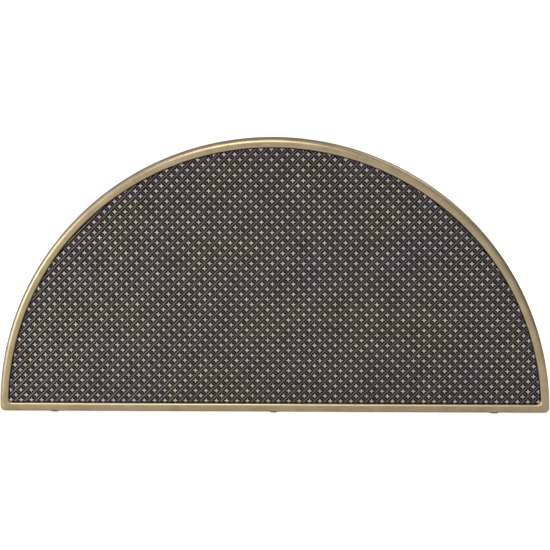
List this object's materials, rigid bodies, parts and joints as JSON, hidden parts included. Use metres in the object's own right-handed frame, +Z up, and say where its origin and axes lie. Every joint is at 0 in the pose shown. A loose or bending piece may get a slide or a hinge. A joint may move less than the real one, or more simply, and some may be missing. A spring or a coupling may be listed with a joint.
{
  "type": "fireplace screen",
  "caption": "Half-round free-standing hearth screen: mitred brass moulding, studded diamond-lattice relief panel, and rear legs that swing flat for storage.",
  "frame": {"origin": "on the floor, at the middle of the bottom face of the middle glide under the bottom rail", "axes": "+X along the screen to the viewer's right, -Y out of its front, +Z up"},
  "size_m": [0.9996, 0.203, 0.5015],
  "materials": {
    "satin_brass": "satin brushed, lightly aged",
    "relief_brass": "dark patina with burnished high points",
    "blacked_steel": "matt black",
    "zinc_steel": "zinc plated, satin",
    "nylon": "natural nylon, matt",
    "rubber": "moulded rubber, matt"
  },
  "bodies": {
    "screen": {"frame_arch": "satin_brass", "frame_bottom_rail": "satin_brass", "relief_panel": "relief_brass", "backing_sheet": "blacked_steel", "retainer_arch_left": "blacked_steel", "retainer_arch_right": "blacked_steel", "retainer_rail": "blacked_steel", "corner_plate_left": "blacked_steel", "corner_plate_right": "blacked_steel", "stile_left": "blacked_steel", "stile_right": "blacked_steel", "rail_glide_left": "nylon", "rail_glide_middle": "nylon", "rail_glide_right": "nylon", "lug_left_lower": "blacked_steel", "lug_left_upper": "blacked_steel", "lug_right_lower": "blacked_steel", "lug_right_upper": "blacked_steel", "retainer_screw_1": "zinc_steel", "retainer_screw_2": "zinc_steel", "retainer_screw_3": "zinc_steel", "retainer_screw_4": "zinc_steel", "retainer_screw_5": "zinc_steel", "retainer_screw_6": "zinc_steel", "retainer_screw_7": "zinc_steel", "corner_plate_screw_1": "zinc_steel", "corner_plate_screw_2": "zinc_steel", "corner_plate_screw_3": "zinc_steel", "corner_plate_screw_4": "zinc_steel", "stile_screw_1": "zinc_steel", "stile_screw_2": "zinc_steel", "stile_screw_3": "zinc_steel", "stile_screw_4": "zinc_steel", "lug_left_lower_screw_low": "zinc_steel", "lug_left_lower_screw_high": "zinc_steel", "lug_left_upper_screw_low": "zinc_steel", "lug_left_upper_screw_high": "zinc_steel", "lug_right_lower_screw_low": "zinc_steel", "lug_right_lower_screw_high": "zinc_steel", "lug_right_upper_screw_low": "zinc_steel", "lug_right_upper_screw_high": "zinc_steel"},
    "leg_left": {"leg_left_post": "blacked_steel", "leg_left_collar": "zinc_steel", "leg_left_foot_bar": "blacked_steel", "leg_left_brace": "blacked_steel", "leg_left_foot_pad": "rubber"},
    "leg_right": {"leg_right_post": "blacked_steel", "leg_right_collar": "zinc_steel", "leg_right_foot_bar": "blacked_steel", "leg_right_brace": "blacked_steel", "leg_right_foot_pad": "rubber"}
  },
  "joints": [
    {"name": "leg_left_fold", "type": "hinge", "parent": "screen", "child": "leg_left", "pos_m": [-0.25, 0.034, 0], "axis": [0, 0, 1], "range_deg": [-90, 0]},
    {"name": "leg_right_fold", "type": "hinge", "parent": "screen", "child": "leg_right", "pos_m": [0.25, 0.034, 0], "axis": [0, 0, 1], "range_deg": [0, 90]}
  ]
}
